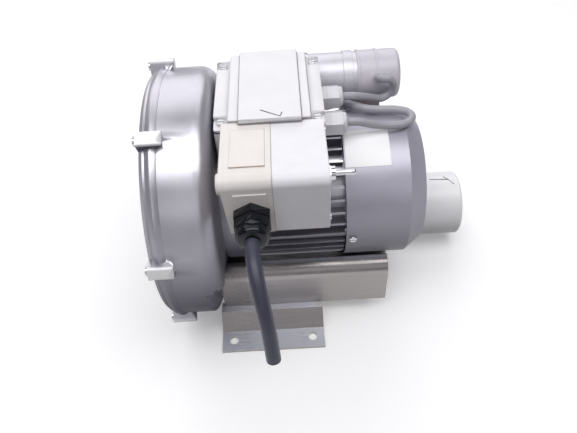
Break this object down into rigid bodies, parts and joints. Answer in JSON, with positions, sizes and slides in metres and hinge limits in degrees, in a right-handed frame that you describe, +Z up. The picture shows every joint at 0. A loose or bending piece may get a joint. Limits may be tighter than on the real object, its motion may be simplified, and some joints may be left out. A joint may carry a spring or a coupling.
{
  "type": "side channel blower",
  "caption": "Side channel blower: round silver casing on a finned fan-cooled motor, silencer box and sheet foot below, terminal and switch boxes on top, white pipe socket on the outlet.",
  "frame": {"origin": "centre of the four foot holes, in the plane that the foot stands on", "axes": "+X along the shaft from the blower to the fan, the way both ports point; +Z up; +Y to the outlet's side, away from the supply cord"},
  "size_m": [0.3158, 0.337, 0.2493],
  "materials": {
    "silver_paint": "satin silver paint",
    "cast_aluminium": "as cast",
    "machined_aluminium": "machined",
    "zinc_steel": "bright zinc plated",
    "brushed_sheet": "brushed sheet",
    "shaft_steel": "ground",
    "bearing_steel": "polished",
    "core_steel": "laminated",
    "copper_winding": "varnished wire",
    "grey_paint": "satin grey paint",
    "black_rubber": "matt",
    "cord_rubber": "matt",
    "foam": "open foam",
    "port_alloy": "machined",
    "white_plastic": "smooth",
    "fan_plastic": "moulded",
    "box_white": "satin white paint",
    "ivory_plastic": "moulded",
    "light_grey_plastic": "moulded",
    "gland_grey": "moulded",
    "gland_black": "moulded",
    "capacitor_can": "drawn can",
    "boot_grey": "soft boot",
    "start_can": "beige sleeve",
    "lead_grey": "lead sheath",
    "block_brown": "moulded",
    "brass": "plain",
    "chrome": "bright",
    "switch_black": "moulded"
  },
  "bodies": {
    "frame": {"casing": "silver_paint", "casing_cover": "silver_paint", "cover_screws": "zinc_steel", "shaft_seal": "black_rubber", "silencer_manifold": "cast_aluminium", "silencer_hood": "brushed_sheet", "silencer_base": "brushed_sheet", "port_liners": "brushed_sheet", "silencer_end_plate": "brushed_sheet", "silencer_foam": "foam", "inlet_port_bush": "port_alloy", "outlet_nipple": "port_alloy", "outlet_socket": "white_plastic", "foot_bracket": "brushed_sheet", "foot_screws": "zinc_steel", "motor_housing": "silver_paint", "rear_end_shield": "cast_aluminium", "tie_bolts": "zinc_steel", "stator_core": "core_steel", "stator_windings": "copper_winding", "bearing_outer_rings": "bearing_steel", "fan_cover": "grey_paint", "fan_cover_screws": "zinc_steel", "terminal_box": "box_white", "terminal_box_screws": "zinc_steel", "terminal_box_gasket": "black_rubber", "terminal_box_lid": "box_white", "lid_screws": "zinc_steel", "terminal_block": "block_brown", "terminal_studs": "brass", "lead_gland_bodies": "gland_grey", "lead_gland_nuts": "gland_grey", "run_capacitor": "capacitor_can", "capacitor_boot": "boot_grey", "capacitor_clamp": "zinc_steel", "start_capacitor": "start_can", "capacitor_strap": "zinc_steel", "run_lead": "lead_grey", "start_lead": "lead_grey", "box_link": "gland_grey", "switch_box_left": "ivory_plastic", "switch_box_right": "light_grey_plastic", "switch_box_screws": "zinc_steel", "switch_body": "switch_black", "switch_bush": "chrome", "switch_nut": "chrome", "supply_gland_body": "gland_black", "supply_gland_nut": "gland_black", "supply_cord": "cord_rubber"},
    "rotor": {"impeller": "machined_aluminium", "impeller_key": "shaft_steel", "impeller_washer": "zinc_steel", "impeller_screw": "zinc_steel", "shaft": "shaft_steel", "rotor_core": "core_steel", "cooling_fan": "fan_plastic", "bearing_inner_rings": "bearing_steel"},
    "ball_cages": {"bearing_balls": "bearing_steel", "bearing_cages": "brass"},
    "toggle": {"switch_lever": "chrome"}
  },
  "joints": [
    {"name": "rotor_spin", "type": "hinge", "parent": "frame", "child": "rotor", "pos_m": [0, 0, 0.127], "axis": [1, 0, 0], "continuous": true},
    {"name": "cage_spin", "type": "hinge", "parent": "frame", "child": "ball_cages", "pos_m": [0, 0, 0.127], "axis": [1, 0, 0], "continuous": true},
    {"name": "toggle_tilt", "type": "hinge", "parent": "frame", "child": "toggle", "pos_m": [0.0608, -0.082, 0.218], "axis": [0, 1, 0], "range_deg": [-13, 13]}
  ],
  "couplings": [
    {"joint": "cage_spin", "follows": "rotor_spin", "ratio": 0.3877}
  ]
}
